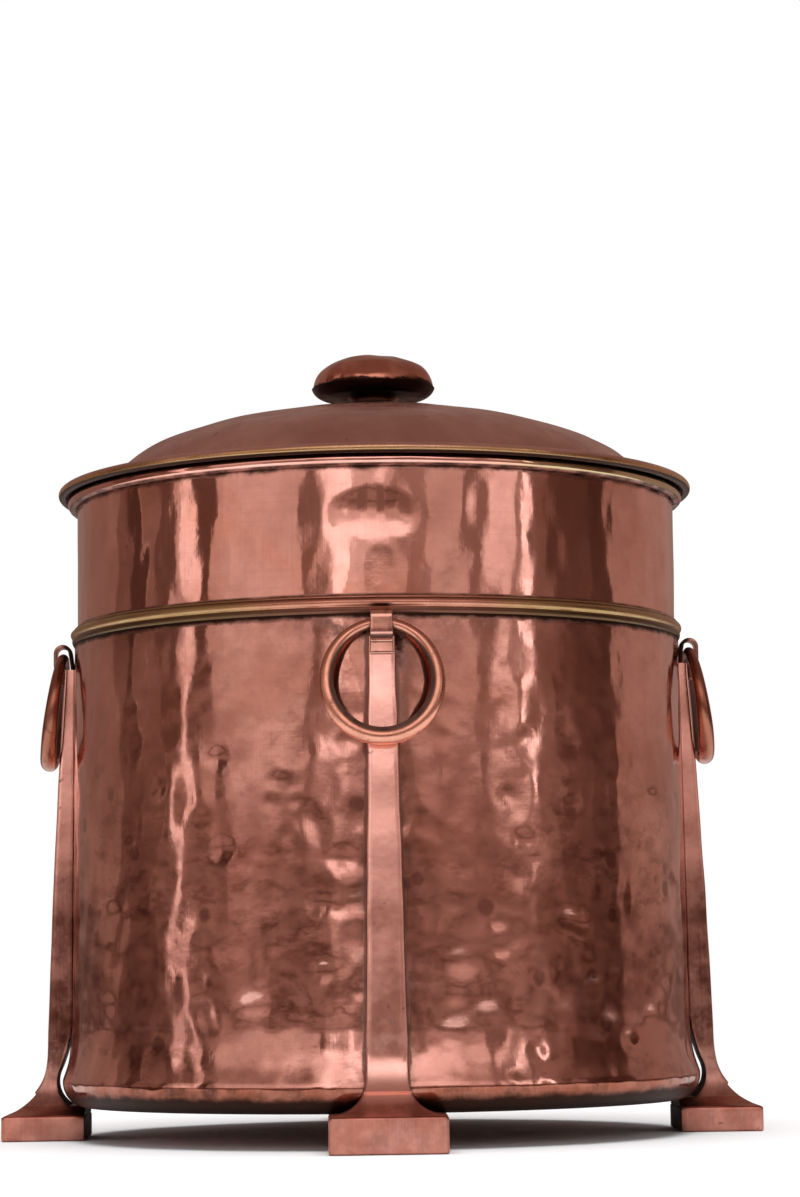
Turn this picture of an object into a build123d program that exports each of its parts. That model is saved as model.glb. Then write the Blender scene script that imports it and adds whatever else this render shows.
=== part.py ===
"""A lidded copper fuel bin on four cast strap legs, each with a hanging ring handle.

Millimetres, +Z up. The origin is on the floor, on the bin's axis. The four legs stand on the
X and Y axes; the front is -Y. Every sheet part is a revolved wall of one sheet thickness.
"""

import math
import os

from build123d import *

# Driving dimensions
SHEET = 1.2  # thickness of the copper sheet
NECK_RADIUS = 185.0  # outside of the upright neck above the seam bead
SHELL_TOP_RADIUS = 186.8  # outside of the tapered shell where it meets the bead
SHELL_LOW_RADIUS = 188.6  # outside of the shell where its flare starts
FLARE_RADIUS = 194.3  # outside of the shell at the crease above the bottom
FOOT_HEIGHT = 20.0  # height of each leg's inner ledge, which the bin's bottom rests on
SEAM_HEIGHT = 300.0  # lower edge of the seam bead
RIM_HEIGHT = 388.0  # centre of the neck's rolled rim
DOME_CROWN = 400.0  # radius of the dome's shallow crown
DOME_SHOULDER = 80.0  # radius of the bend from the crown down to the flange
LID_RADIUS = 196.5  # outside of the lid's rolled edge
KNOB_RADIUS = 38.5
RING_HALF_WIDTH = 31.4  # of a ring handle's centre line, which is a little taller than wide
RING_HALF_DROP = 32.6
BODY_GAP = 0.3  # clearance between parts that move apart

SIDES = {"front": -90, "right": 0, "back": 90, "left": 180}

# Shell
FLARE_START = 66.0
CREASE_HEIGHT = 36.0
LIP_RADIUS = 184.0  # where the tucked-in bottom edge turns flat
LIP_INNER_RADIUS = 176.0
SHELL_OVERLAP = 6.0  # how far the shell runs up behind the bead
NECK_OVERLAP = 10.0  # how far the neck runs down inside the shell

# Rolled edges, each a curl of sheet round a wire
NECK_CURL = 3.6  # outside radius of the curl's section
LID_CURL = 3.0
WIRE_CLEARANCE = 0.05
NECK_CURL_CENTRE = NECK_RADIUS - SHEET + NECK_CURL - 0.2
LID_CURL_CENTRE = LID_RADIUS - LID_CURL

# Seam bead: a half-round moulding over a flat fillet
BEAD_HEIGHT = 10.4
BEAD_STEP = 4.0
BEAD_PROUD = 4.2  # how far the half-round stands out from the neck

# Lid
FLANGE_HEIGHT = RIM_HEIGHT + NECK_CURL + BODY_GAP  # underside of the flange
FLANGE_TOP = FLANGE_HEIGHT + SHEET
LID_CURL_HEIGHT = FLANGE_HEIGHT + 1.7
DOME_FILLET = 7.0  # radius where the shoulder turns out into the flange
CROWN_ANGLE = 19.0  # slope, in degrees, where the crown meets the shoulder
SHOULDER_ANGLE = 55.0  # slope where the shoulder meets the fillet
SKIRT_RADIUS = 182.6
SKIRT_DEPTH = 20.0

# Knob
STEM_HEIGHT = 8.0
STEM_FOOT_RADIUS = 16.0
STEM_FOOT_EDGE = 1.5
STEM_WAIST_RADIUS = 13.6
PAN_FLAT = 30.0  # radius of the flat under the knob
PAN_DEPTH = 6.0
CAP_CROWN = 66.0  # radius of the top of the knob's cap
CAP_ANGLE = 27.0  # slope where the cap's crown meets its rounded side
KNOB_SHEET = 1.0
STUD_RADIUS = 3.0
STUD_HOLE = 3.1
STUD_HEAD_RADIUS = 6.5
STUD_HEAD_HEIGHT = 2.4
WASHER_RADIUS = 12.0
WASHER_THICKNESS = 1.2

# Leg
FOOT_INNER = 180.0
FOOT_OUTER = 230.0
FOOT_HALF_WIDTH = 33.0
BLOCK_HEIGHTS = {"front": 20.0, "right": 14.5, "back": 16.0, "left": 14.5}  # hand-cast feet differ
LEG_TOP = 286.2
LEG_WAIST = 54.0  # where the strap's face starts to sweep out into its foot
WIDTH_WAIST = 42.0  # where the strap's sides start to flare into its foot
STRAP_LOW = 203.5  # radial distance of the strap's face at the waist
STRAP_MIDDLE = 199.6
STRAP_TOP = 193.0
STRAP_MIDDLE_HEIGHT = 165.0
STRAP_HALF_LOW = 12.1
STRAP_HALF_MIDDLE = 9.9
STRAP_HALF_TOP = 7.7
LEG_GAP = 0.05  # between the leg's flat back and the round shell

# Leg rivets, with their heads inside the bin
RIVET_HEIGHTS = (100.0, 245.0)
RIVET_SHANK = 2.5
RIVET_HOLE = 2.55
RIVET_HEAD = 5.0
RIVET_HEAD_HEIGHT = 2.4
RIVET_DEPTH = 6.0  # how far the shank runs into the leg

# Ring and its loop
STRIP = 2.0  # thickness of the loop's strip
LOOP_BACK = 187.4  # outer line of the loop's strip where it leaves the leg's top
LOOP_BEND_BACK = 188.7  # outer line where the bend over the ring starts
LOOP_FRONT = 200.0
BEND_HEIGHT = 296.8  # where the bend over the ring starts and ends
LOOP_TOP = 302.2
EYE_BOTTOM = 289.0  # where the strip starts to turn back to the strap
STRIP_HALF_TOP = 6.0
STRIP_HALF_TAB = 6.7
TAB_BOTTOM = 276.0
TAB_TOP = 283.4
TAB_GAP = 0.25
STRAP_TAPER = 0.066  # how far the strap's face comes out, per millimetre down, beside the tab
PIVOT_RADIUS = 194.1
PIVOT_HEIGHT = 293.7
RING_WIRE_TOP = 3.0  # section radius where the ring hangs in its loop
RING_WIRE_BOTTOM = 5.2
RING_LEAN = 7.8  # degrees the ring leans out from plumb, at rest against the strap
RING_SECTIONS = 9


def shell_radius(height):
    """Outside radius of the tapered shell between its flare and the bead."""
    run = (SEAM_HEIGHT - height) / (SEAM_HEIGHT - FLARE_START)
    return SHELL_TOP_RADIUS + run * (SHELL_LOW_RADIUS - SHELL_TOP_RADIUS)


def arc_drop(radius, start, end):
    """How far an arc of this radius falls while its slope goes from start to end degrees."""
    return radius * (math.cos(math.radians(start)) - math.cos(math.radians(end)))


def cap_sphere(radius, height):
    """Radius of the sphere whose cap has this radius and height, and the cap's half angle."""
    sphere = (radius**2 + height**2) / (2 * height)
    return sphere, math.degrees(math.asin(radius / sphere))


def side_plane(angle):
    """The upright plane through the axis: local X points out along angle, local Y is up."""
    return Plane(
        origin=(0, 0, 0),
        x_dir=Vector(1, 0, 0).rotate(Axis.Z, angle),
        z_dir=Vector(0, -1, 0).rotate(Axis.Z, angle),
    )


def face_plane(angle, distance=0.0):
    """The upright plane square to angle: its normal points out and local Y is up."""
    outward = Vector(1, 0, 0).rotate(Axis.Z, angle)
    return Plane(
        origin=outward * distance,
        x_dir=Vector(0, 1, 0).rotate(Axis.Z, angle),
        z_dir=outward,
    )


def save(part, name):
    """Labels a finished piece and writes it as its own STEP file."""
    part.label = name
    export_step(part, f"parts/{name}.step")


os.makedirs("parts", exist_ok=True)

# Heights up the lid and its knob
dome_top = (
    FLANGE_TOP
    + arc_drop(DOME_CROWN, 0, CROWN_ANGLE)
    + arc_drop(DOME_SHOULDER, CROWN_ANGLE, SHOULDER_ANGLE)
    + arc_drop(DOME_FILLET, 0, SHOULDER_ANGLE)
)
stem_top = dome_top + STEM_HEIGHT
knob_seam = stem_top + PAN_DEPTH

# Shell: tapered wall, flared foot, crease, and an edge tucked in under the bottom plate
with BuildPart() as body_shell:
    with BuildSketch(Plane.XZ):
        with BuildLine():
            wall_top = (shell_radius(SEAM_HEIGHT + SHELL_OVERLAP), SEAM_HEIGHT + SHELL_OVERLAP)
            wall = Line(wall_top, (SHELL_LOW_RADIUS, FLARE_START))
            flare = TangentArc(wall @ 1, (FLARE_RADIUS, CREASE_HEIGHT), tangent=wall % 1)
            tuck = ThreePointArc(flare @ 1, (192.4, 26.6), (LIP_RADIUS, FOOT_HEIGHT))
            Line(tuck @ 1, (LIP_INNER_RADIUS, FOOT_HEIGHT))
            offset(amount=SHEET, side=Side.RIGHT)
        make_face()
    revolve(axis=Axis.Z)
    for angle in SIDES.values():
        for height in RIVET_HEIGHTS:
            with BuildSketch(face_plane(angle, NECK_RADIUS - 10)):
                with Locations((0, height)):
                    Circle(RIVET_HOLE)
            extrude(amount=20, mode=Mode.SUBTRACT)
save(body_shell.part, "body_shell")

# Bottom plate, resting on the shell's tucked-in lip
with BuildPart() as bottom_plate:
    with BuildSketch(Plane.XY.offset(FOOT_HEIGHT + SHEET)):
        Circle(LIP_RADIUS - 0.5)
    extrude(amount=1.5)
save(bottom_plate.part, "bottom_plate")

# Neck: upright wall with a rolled rim
with BuildPart() as neck_collar:
    with BuildSketch(Plane.XZ):
        with BuildLine():
            Polyline(
                (NECK_RADIUS - SHEET, SEAM_HEIGHT - NECK_OVERLAP),
                (NECK_RADIUS, SEAM_HEIGHT - NECK_OVERLAP),
                (NECK_RADIUS, RIM_HEIGHT),
                (NECK_RADIUS - SHEET, RIM_HEIGHT),
                close=True,
            )
        make_face()
        with Locations((NECK_CURL_CENTRE, RIM_HEIGHT)):
            Circle(NECK_CURL)
            Circle(NECK_CURL - SHEET, mode=Mode.SUBTRACT)
    revolve(axis=Axis.Z)
save(neck_collar.part, "neck_collar")

with BuildPart() as neck_rim_wire:
    with BuildSketch(Plane.XZ):
        with Locations((NECK_CURL_CENTRE, RIM_HEIGHT)):
            Circle(NECK_CURL - SHEET - WIRE_CLEARANCE)
    revolve(axis=Axis.Z)
save(neck_rim_wire.part, "neck_rim_wire")

# Seam bead: it covers the step from the shell to the neck
with BuildPart() as seam_bead:
    bead_back = shell_radius(SEAM_HEIGHT) + LEG_GAP
    bead_top = SEAM_HEIGHT + BEAD_HEIGHT
    bead_step = SEAM_HEIGHT + BEAD_STEP
    shell_edge = SEAM_HEIGHT + SHELL_OVERLAP + LEG_GAP
    with BuildSketch(Plane.XZ):
        with BuildLine():
            Line((bead_back, SEAM_HEIGHT), (bead_back + 0.5, SEAM_HEIGHT))
            ThreePointArc(
                (bead_back + 0.5, SEAM_HEIGHT),
                (bead_back + 1.4, SEAM_HEIGHT + BEAD_STEP / 2),
                (bead_back + 0.9, bead_step),
            )
            ThreePointArc(
                (bead_back + 0.9, bead_step),
                (NECK_RADIUS + BEAD_PROUD, (bead_step + bead_top) / 2),
                (NECK_RADIUS + LEG_GAP, bead_top),
            )
            Line((NECK_RADIUS + LEG_GAP, bead_top), (NECK_RADIUS + LEG_GAP, shell_edge))
            Line((NECK_RADIUS + LEG_GAP, shell_edge), (bead_back, shell_edge))
            Line((bead_back, shell_edge), (bead_back, SEAM_HEIGHT))
        make_face()
    revolve(axis=Axis.Z)
save(seam_bead.part, "seam_bead")

# Lid: dome, flange and rolled edge, raised from one sheet
with BuildPart() as lid_dome:
    with BuildSketch(Plane.XZ):
        with BuildLine():
            crown = JernArc((0, dome_top), (1, 0), DOME_CROWN, -CROWN_ANGLE)
            shoulder = JernArc(crown @ 1, crown % 1, DOME_SHOULDER, CROWN_ANGLE - SHOULDER_ANGLE)
            fillet_arc = JernArc(shoulder @ 1, shoulder % 1, DOME_FILLET, SHOULDER_ANGLE)
            Line(fillet_arc @ 1, (LID_CURL_CENTRE, FLANGE_TOP))
            offset(amount=SHEET, side=Side.RIGHT)
        make_face()
        with Locations((LID_CURL_CENTRE, LID_CURL_HEIGHT)):
            Circle(LID_CURL)
            Circle(LID_CURL - SHEET, mode=Mode.SUBTRACT)
    revolve(axis=Axis.Z)
    with BuildSketch(Plane.XY.offset(FLANGE_TOP)):
        Circle(STUD_HOLE)
    extrude(amount=dome_top - FLANGE_HEIGHT, mode=Mode.SUBTRACT)
save(lid_dome.part, "lid_dome")

with BuildPart() as lid_rim_wire:
    with BuildSketch(Plane.XZ):
        with Locations((LID_CURL_CENTRE, LID_CURL_HEIGHT)):
            Circle(LID_CURL - SHEET - WIRE_CLEARANCE)
    revolve(axis=Axis.Z)
save(lid_rim_wire.part, "lid_rim_wire")

# Skirt: the band under the flange that locates the lid inside the neck
with BuildPart() as lid_skirt:
    with BuildSketch(Plane.XY.offset(FLANGE_HEIGHT - SKIRT_DEPTH)):
        Circle(SKIRT_RADIUS)
        Circle(SKIRT_RADIUS - SHEET, mode=Mode.SUBTRACT)
    extrude(amount=SKIRT_DEPTH)
    chamfer(lid_skirt.edges().group_by(Axis.Z)[0].sort_by(SortBy.RADIUS)[-1], 0.5)
save(lid_skirt.part, "lid_skirt")

# Knob: a waisted stem, a shallow pan and a domed cap, held by one riveted stud
with BuildPart() as knob_stem:
    foot = dome_top + LEG_GAP
    with BuildSketch(Plane.XZ):
        with BuildLine():
            Line((STUD_HOLE, stem_top), (STUD_HOLE, foot))
            Line((STUD_HOLE, foot), (STEM_FOOT_RADIUS, foot))
            Line((STEM_FOOT_RADIUS, foot), (STEM_FOOT_RADIUS, foot + STEM_FOOT_EDGE))
            ThreePointArc(
                (STEM_FOOT_RADIUS, foot + STEM_FOOT_EDGE),
                (STEM_WAIST_RADIUS, (foot + STEM_FOOT_EDGE + stem_top) / 2),
                (STEM_FOOT_RADIUS, stem_top),
            )
            Line((STEM_FOOT_RADIUS, stem_top), (STUD_HOLE, stem_top))
        make_face()
    revolve(axis=Axis.Z)
save(knob_stem.part, "knob_stem")

with BuildPart() as knob_pan:
    with BuildSketch(Plane.XZ):
        with BuildLine():
            floor = Line((STUD_HOLE, stem_top), (PAN_FLAT, stem_top))
            TangentArc(floor @ 1, (KNOB_RADIUS, knob_seam), tangent=floor % 1)
            offset(amount=KNOB_SHEET, side=Side.LEFT)
        make_face()
    revolve(axis=Axis.Z)
    split(bisect_by=Plane.XY.offset(knob_seam), keep=Keep.BOTTOM)
save(knob_pan.part, "knob_pan")

with BuildPart() as knob_cap:
    cap_base = knob_seam + LEG_GAP
    crown_edge = CAP_CROWN * math.sin(math.radians(CAP_ANGLE))
    cap_side = (KNOB_RADIUS - crown_edge) / (1 - math.sin(math.radians(CAP_ANGLE)))
    cap_rise = arc_drop(CAP_CROWN, 0, CAP_ANGLE) + arc_drop(cap_side, CAP_ANGLE, 90)
    with BuildSketch(Plane.XZ):
        with BuildLine():
            crown = JernArc((0, cap_base + cap_rise), (1, 0), CAP_CROWN, -CAP_ANGLE)
            JernArc(crown @ 1, crown % 1, cap_side, CAP_ANGLE - 90)
            offset(amount=KNOB_SHEET, side=Side.RIGHT)
        make_face()
    revolve(axis=Axis.Z)
save(knob_cap.part, "knob_cap")

washer_top = dome_top - SHEET - BODY_GAP
washer_bottom = washer_top - WASHER_THICKNESS
with BuildPart() as knob_washer:
    with BuildSketch(Plane.XY.offset(washer_bottom)):
        Circle(WASHER_RADIUS)
        Circle(STUD_HOLE, mode=Mode.SUBTRACT)
    extrude(amount=WASHER_THICKNESS)
save(knob_washer.part, "knob_washer")

# Stud: a domed head under the lid and a peened head inside the knob's pan
with BuildPart() as knob_stud:
    peen_bottom = stem_top + KNOB_SHEET + LEG_GAP
    head_sphere, head_angle = cap_sphere(STUD_HEAD_RADIUS, STUD_HEAD_HEIGHT)
    with BuildSketch(Plane.XY.offset(washer_bottom)):
        Circle(STUD_RADIUS)
    extrude(amount=peen_bottom - washer_bottom)
    for base, way in ((washer_bottom, -1), (peen_bottom, 1)):
        with BuildSketch(Plane.XZ):
            with BuildLine():
                head_top = (0, base + way * STUD_HEAD_HEIGHT)
                JernArc(head_top, (1, 0), head_sphere, -way * head_angle)
                Polyline((STUD_HEAD_RADIUS, base), (0, base), head_top)
            make_face()
        revolve(axis=Axis.Z)
save(knob_stud.part, "knob_stud")


def make_leg(side, angle):
    """A cast strap leg: its side profile cut to its front outline, with blind rivet holes."""
    back_top = shell_radius(LEG_TOP) + LEG_GAP
    back_low = SHELL_LOW_RADIUS + LEG_GAP
    block = BLOCK_HEIGHTS[side]
    sweep_middle = (212.7, 25.0 + 0.5 * (block - 14.5))
    flare_middle = (17.0, 22.8 + 0.73 * (block - 14.5))
    with BuildPart() as leg:
        with BuildSketch(side_plane(angle)):
            with BuildLine():
                Line((FOOT_INNER, 0), (FOOT_OUTER, 0))
                Line((FOOT_OUTER, 0), (FOOT_OUTER, block))
                ThreePointArc((FOOT_OUTER, block), sweep_middle, (STRAP_LOW, LEG_WAIST))
                ThreePointArc(
                    (STRAP_LOW, LEG_WAIST), (STRAP_MIDDLE, STRAP_MIDDLE_HEIGHT), (STRAP_TOP, LEG_TOP)
                )
                Line((STRAP_TOP, LEG_TOP), (back_top, LEG_TOP))
                Line((back_top, LEG_TOP), (back_low, FLARE_START + 4))
                ThreePointArc((back_low, FLARE_START + 4), (191.6, 54.0), (196.6, 40.5))
                ThreePointArc((196.6, 40.5), (197.0, 29.5), (189.5, FOOT_HEIGHT))
                Line((189.5, FOOT_HEIGHT), (FOOT_INNER, FOOT_HEIGHT))
                Line((FOOT_INNER, FOOT_HEIGHT), (FOOT_INNER, 0))
            make_face()
        extrude(amount=FOOT_HALF_WIDTH, both=True)
        with BuildSketch(face_plane(angle, FOOT_INNER - 5)):
            with BuildLine():
                Line((0, 0), (FOOT_HALF_WIDTH, 0))
                Line((FOOT_HALF_WIDTH, 0), (FOOT_HALF_WIDTH, block + 0.5))
                ThreePointArc(
                    (FOOT_HALF_WIDTH, block + 0.5), flare_middle, (STRAP_HALF_LOW, WIDTH_WAIST)
                )
                ThreePointArc(
                    (STRAP_HALF_LOW, WIDTH_WAIST),
                    (STRAP_HALF_MIDDLE, STRAP_MIDDLE_HEIGHT),
                    (STRAP_HALF_TOP, LEG_TOP),
                )
                Line((STRAP_HALF_TOP, LEG_TOP), (0, LEG_TOP))
                mirror(about=Plane.YZ)
            make_face()
        extrude(amount=FOOT_OUTER - FOOT_INNER + 10, mode=Mode.INTERSECT)
        for height in RIVET_HEIGHTS:
            hole_depth = shell_radius(height) + RIVET_DEPTH + LEG_GAP
            with BuildSketch(face_plane(angle, FOOT_INNER)):
                with Locations((0, height)):
                    Circle(RIVET_HOLE)
            extrude(amount=hole_depth - FOOT_INNER, mode=Mode.SUBTRACT)
    save(leg.part, f"leg_{side}")


def make_rivets(side, angle):
    """Two rivets: a domed head on the shell's inside and a shank into the leg."""
    head_sphere, head_angle = cap_sphere(RIVET_HEAD, RIVET_HEAD_HEIGHT)
    with BuildPart() as leg_rivets:
        for height in RIVET_HEIGHTS:
            wall_inside = shell_radius(height) - SHEET - 0.1
            with BuildSketch(face_plane(angle, wall_inside)):
                with Locations((0, height)):
                    Circle(RIVET_SHANK)
            extrude(amount=SHEET + RIVET_DEPTH)
            with BuildSketch(side_plane(angle)):
                with BuildLine():
                    head_top = (wall_inside - RIVET_HEAD_HEIGHT, height)
                    JernArc(head_top, (0, 1), head_sphere, -head_angle)
                    Polyline((wall_inside, height + RIVET_HEAD), (wall_inside, height), head_top)
                make_face()
            spin = Axis((0, 0, height), tuple(Vector(1, 0, 0).rotate(Axis.Z, angle)))
            revolve(axis=spin)
    save(leg_rivets.part, f"leg_rivets_{side}")


def make_loop(side, angle):
    """The loop that holds a ring: a strip bent over the ring and down on to the strap's face."""
    tab = STRAP_TOP + TAB_GAP + STRIP
    with BuildPart() as ring_loop:
        with BuildSketch(side_plane(angle)):
            with BuildLine():
                rise = Line((LOOP_BACK, LEG_TOP), (LOOP_BACK, LEG_TOP + STRIP))
                lean = Line(rise @ 1, (LOOP_BEND_BACK, BEND_HEIGHT))
                over = ThreePointArc(
                    lean @ 1,
                    ((LOOP_BEND_BACK + LOOP_FRONT) / 2, LOOP_TOP),
                    (LOOP_FRONT, BEND_HEIGHT),
                )
                fall = Line(over @ 1, (LOOP_FRONT, EYE_BOTTOM))
                waist = ((LOOP_FRONT + tab) / 2, (EYE_BOTTOM + TAB_TOP) / 2)
                tuck_in = TangentArc(fall @ 1, waist, tangent=fall % 1)
                turn = TangentArc(tuck_in @ 1, (tab, TAB_TOP), tangent=tuck_in % 1)
                Line(turn @ 1, (tab + STRAP_TAPER * (TAB_TOP - TAB_BOTTOM), TAB_BOTTOM))
                offset(amount=STRIP, side=Side.RIGHT)
            make_face()
        extrude(amount=STRIP_HALF_TAB, both=True)
        with BuildSketch(face_plane(angle, FOOT_INNER)):
            with BuildLine():
                Polyline(
                    (-STRIP_HALF_TAB, TAB_BOTTOM),
                    (STRIP_HALF_TAB, TAB_BOTTOM),
                    (STRIP_HALF_TOP, LOOP_TOP),
                    (-STRIP_HALF_TOP, LOOP_TOP),
                    close=True,
                )
            make_face()
        extrude(amount=40, mode=Mode.INTERSECT)
    save(ring_loop.part, f"ring_loop_{side}")


def make_ring(side, angle):
    """A ring handle whose wire thickens from its top to its bottom, hung leaning on the strap."""
    outward = Vector(1, 0, 0).rotate(Axis.Z, angle)
    tangent = Vector(0, 1, 0).rotate(Axis.Z, angle)
    lean = math.radians(RING_LEAN)
    down = outward * math.sin(lean) - Vector(0, 0, 1) * math.cos(lean)
    centre = outward * PIVOT_RADIUS + Vector(0, 0, PIVOT_HEIGHT) + down * RING_HALF_DROP
    with BuildPart() as ring_handle:
        for step in range(RING_SECTIONS):
            turn = math.pi * step / (RING_SECTIONS - 1)
            spoke = tangent * math.sin(turn) - down * math.cos(turn)
            along = tangent * math.cos(turn) + down * math.sin(turn)
            blend = (1 - math.cos(turn)) / 2
            reach = tangent * RING_HALF_WIDTH * math.sin(turn) - down * RING_HALF_DROP * math.cos(turn)
            with BuildSketch(Plane(origin=centre + reach, x_dir=spoke, z_dir=along)):
                Circle(RING_WIRE_TOP + blend * (RING_WIRE_BOTTOM - RING_WIRE_TOP))
        loft()
        mirror(about=Plane(origin=centre, z_dir=tangent))
    save(ring_handle.part, f"ring_handle_{side}")


for side, angle in SIDES.items():
    make_leg(side, angle)
    make_rivets(side, angle)
    make_loop(side, angle)
    make_ring(side, angle)
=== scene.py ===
"""The looks of the lidded copper fuel bin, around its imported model.

Metres, +Z up, the front at -Y. Sheet parts are rebuilt as dense revolved walls with real hammer
dents, the legs, loops and rings as swept bars, and every surface gets a procedural copper.
"""

import math

import bpy
import numpy as np
from mathutils import Matrix, Vector


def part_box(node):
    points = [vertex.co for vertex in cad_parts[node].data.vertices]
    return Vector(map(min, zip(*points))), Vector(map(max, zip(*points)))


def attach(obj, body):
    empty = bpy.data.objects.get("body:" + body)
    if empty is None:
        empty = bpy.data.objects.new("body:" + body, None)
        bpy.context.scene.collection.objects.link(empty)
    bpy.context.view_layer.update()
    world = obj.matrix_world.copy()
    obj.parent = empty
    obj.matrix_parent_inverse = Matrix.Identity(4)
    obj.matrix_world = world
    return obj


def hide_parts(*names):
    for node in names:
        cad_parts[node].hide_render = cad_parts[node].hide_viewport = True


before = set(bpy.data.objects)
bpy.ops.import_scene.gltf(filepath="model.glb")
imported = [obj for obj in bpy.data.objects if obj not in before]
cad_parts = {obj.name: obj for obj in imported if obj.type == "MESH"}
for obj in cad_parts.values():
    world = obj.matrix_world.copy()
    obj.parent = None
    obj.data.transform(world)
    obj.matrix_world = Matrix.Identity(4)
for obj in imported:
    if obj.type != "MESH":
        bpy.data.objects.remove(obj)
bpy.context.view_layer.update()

MM = 0.001
SIDES = {"front": -90, "right": 0, "back": 90, "left": 180}

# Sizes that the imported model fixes
SHEET = 1.2 * MM
SHELL_LOW, SHELL_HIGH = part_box("body_shell")
NECK_LOW, NECK_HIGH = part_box("neck_collar")
BEAD_LOW, BEAD_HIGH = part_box("seam_bead")
LID_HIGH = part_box("lid_dome")[1]
CAP_LOW, CAP_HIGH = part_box("knob_cap")
LEG_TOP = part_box("leg_right")[1].z

# Walls
CREASE = 36 * MM  # where the shell's foot turns in
FLARE_START = 66 * MM
SHELL_FLARE_RADIUS = 188.6 * MM  # where the flare starts
SHELL_TOP_RADIUS = 186.8 * MM  # at the seam
FLOOR_LINE = SHELL_LOW.z
SEAM = BEAD_LOW.z
NECK_CURL = 3.6 * MM  # outside radius of the neck's rolled edge
LID_CURL = 3.0 * MM
CURL_OVERHANG = 0.2 * MM  # how far the neck's roll is set back from its wall
NECK_RADIUS = NECK_HIGH.x - 2 * NECK_CURL + SHEET + CURL_OVERHANG

# Legs: a strap over a foot block
STRAP_HALF_WIDTH = 12.8 * MM  # its straight stretch carried down to the floor
STRAP_NARROWING = 0.0177  # loss of half width per metre of height
BLOCK_HALF_WIDTH = 33 * MM
BLOCK_OUTER = 230 * MM
BLOCK_INNER = 180 * MM
LEDGE = 20 * MM  # carries the bin's bottom

# Rings: where they hang, the half sizes of the wire's middle line, and their lean off plumb
PIVOT_RADIUS = 194.1 * MM
PIVOT_HEIGHT = 293.7 * MM
RING_HALF_WIDTH = 31.4 * MM
RING_HALF_DROP = 32.6 * MM
RING_LEAN = math.radians(7.8)
RING_MIDDLE = PIVOT_HEIGHT - RING_HALF_DROP * math.cos(RING_LEAN)


# ------------ outlines


def arc_through(a, b, c, count):
    """Points along the circle through a, b and c, from a to c."""
    (ax, ay), (bx, by), (cx, cy) = a, b, c
    d = 2 * (ax * (by - cy) + bx * (cy - ay) + cx * (ay - by))
    a2, b2, c2 = ax * ax + ay * ay, bx * bx + by * by, cx * cx + cy * cy
    ux = (a2 * (by - cy) + b2 * (cy - ay) + c2 * (ay - by)) / d
    uy = (a2 * (cx - bx) + b2 * (ax - cx) + c2 * (bx - ax)) / d
    start, middle, end = (math.atan2(y - uy, x - ux) for x, y in (a, b, c))
    turn = (end - start) % (2 * math.pi)
    if (middle - start) % (2 * math.pi) > turn:
        turn -= 2 * math.pi
    angles = start + turn * np.linspace(0, 1, count)
    radius = math.hypot(ax - ux, ay - uy)
    return np.column_stack([ux + radius * np.cos(angles), uy + radius * np.sin(angles)])


def arc(centre, radius, start, end, count):
    """Points on a circle from start to end, in degrees."""
    angles = np.radians(np.linspace(start, end, count))
    return np.column_stack(
        [centre[0] + radius * np.cos(angles), centre[1] + radius * np.sin(angles)]
    )


def resample(points, step):
    """A polyline through points with evenly spaced vertices, about step apart."""
    points = np.asarray(points, float)
    lengths = np.hypot(*np.diff(points, axis=0).T)
    along = np.concatenate([[0], np.cumsum(lengths)])
    count = max(2, round(along[-1] / step) + 1)
    where = np.linspace(0, along[-1], count)
    return np.column_stack([np.interp(where, along, points[:, i]) for i in (0, 1)])


def smooth_path(points, step):
    """A Catmull-Rom curve through a few points, evenly spaced."""
    points = np.asarray(points, float)
    padded = np.vstack([2 * points[0] - points[1], points, 2 * points[-1] - points[-2]])
    t = np.linspace(0, 1, 16, endpoint=False)[:, None]
    spans = []
    for p0, p1, p2, p3 in zip(padded, padded[1:], padded[2:], padded[3:]):
        square = (2 * p0 - 5 * p1 + 4 * p2 - p3) * t**2
        cube = (3 * p1 - p0 - 3 * p2 + p3) * t**3
        spans.append(0.5 * (2 * p1 + (p2 - p0) * t + square + cube))
    return resample(np.vstack(spans + [points[-1:]]), step)


# ------------ hammered relief


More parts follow.
